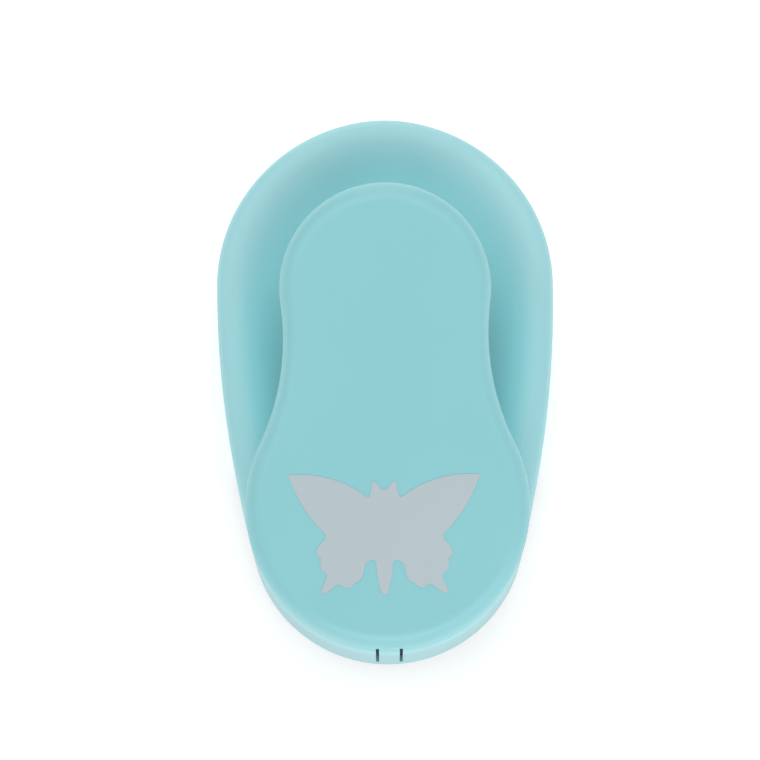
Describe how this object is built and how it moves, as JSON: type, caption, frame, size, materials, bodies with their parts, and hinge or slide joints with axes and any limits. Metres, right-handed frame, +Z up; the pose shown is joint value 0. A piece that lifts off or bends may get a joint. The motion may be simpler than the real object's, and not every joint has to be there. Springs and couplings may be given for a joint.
{
  "type": "craft punch",
  "caption": "Hand-held lever punch: a pin-shaped thumb lever over an egg-shaped base presses a butterfly cutter through paper slid into the mouth at its front.",
  "frame": {"origin": "centre of the bounding box's bottom face, on the table", "axes": "+Z up from the table; +Y to the rear, where the thumb presses; -Y to the mouth, hinge and cutter; +X to the right seen from the front"},
  "size_m": [0.0666, 0.1079, 0.0469],
  "materials": {
    "shell_plastic": "satin",
    "lever_plastic": "satin",
    "print_grey": "matte print",
    "die_metal": "die-cast zinc alloy, ground faces",
    "cutter_steel": "ground",
    "carrier_metal": "stamped, zinc plated",
    "pin_steel": "ground",
    "fastener_steel": "zinc plated",
    "spring_steel": "drawn wire",
    "pad_nylon": "natural nylon"
  },
  "bodies": {
    "base": {"base_housing": "shell_plastic", "bottom_cover": "shell_plastic", "hinge_pin": "pin_steel", "die_plate": "die_metal", "throat_spacer": "die_metal", "guide_plate": "die_metal", "stack_screw_left": "fastener_steel", "stack_screw_middle": "fastener_steel", "stack_screw_right": "fastener_steel", "cover_screw_left": "fastener_steel", "cover_screw_right": "fastener_steel", "cover_screw_rear": "fastener_steel", "dowel_left": "fastener_steel", "dowel_right": "fastener_steel", "return_spring_front_left": "spring_steel", "return_spring_front_right": "spring_steel", "return_spring_rear_left": "spring_steel", "return_spring_rear_right": "spring_steel"},
    "lever": {"lever_cover": "lever_plastic", "lever_frame": "lever_plastic", "butterfly_mark": "print_grey"},
    "punch": {"cutter": "cutter_steel", "carrier": "carrier_metal", "presser_pad": "pad_nylon", "cutter_screw_left": "fastener_steel", "cutter_screw_right": "fastener_steel", "pad_screw_left": "fastener_steel", "pad_screw_right": "fastener_steel"}
  },
  "joints": [
    {"name": "lever_hinge", "type": "hinge", "parent": "base", "child": "lever", "pos_m": [0, -0.04875, 0.0165], "axis": [-1, 0, 0], "range_deg": [0, 14], "stiffness_Nm_per_rad": 1.8, "springref_deg": -10.2},
    {"name": "punch_slide", "type": "slide", "parent": "base", "child": "punch", "axis": [0, 0, -1], "range_m": [0, 0.00411], "deforming": ["return_spring_front_left", "return_spring_front_right", "return_spring_rear_left", "return_spring_rear_right"]}
  ],
  "couplings": [
    {"joint": "punch_slide", "follows": "lever_hinge", "m_per_rad": 0.016806}
  ]
}
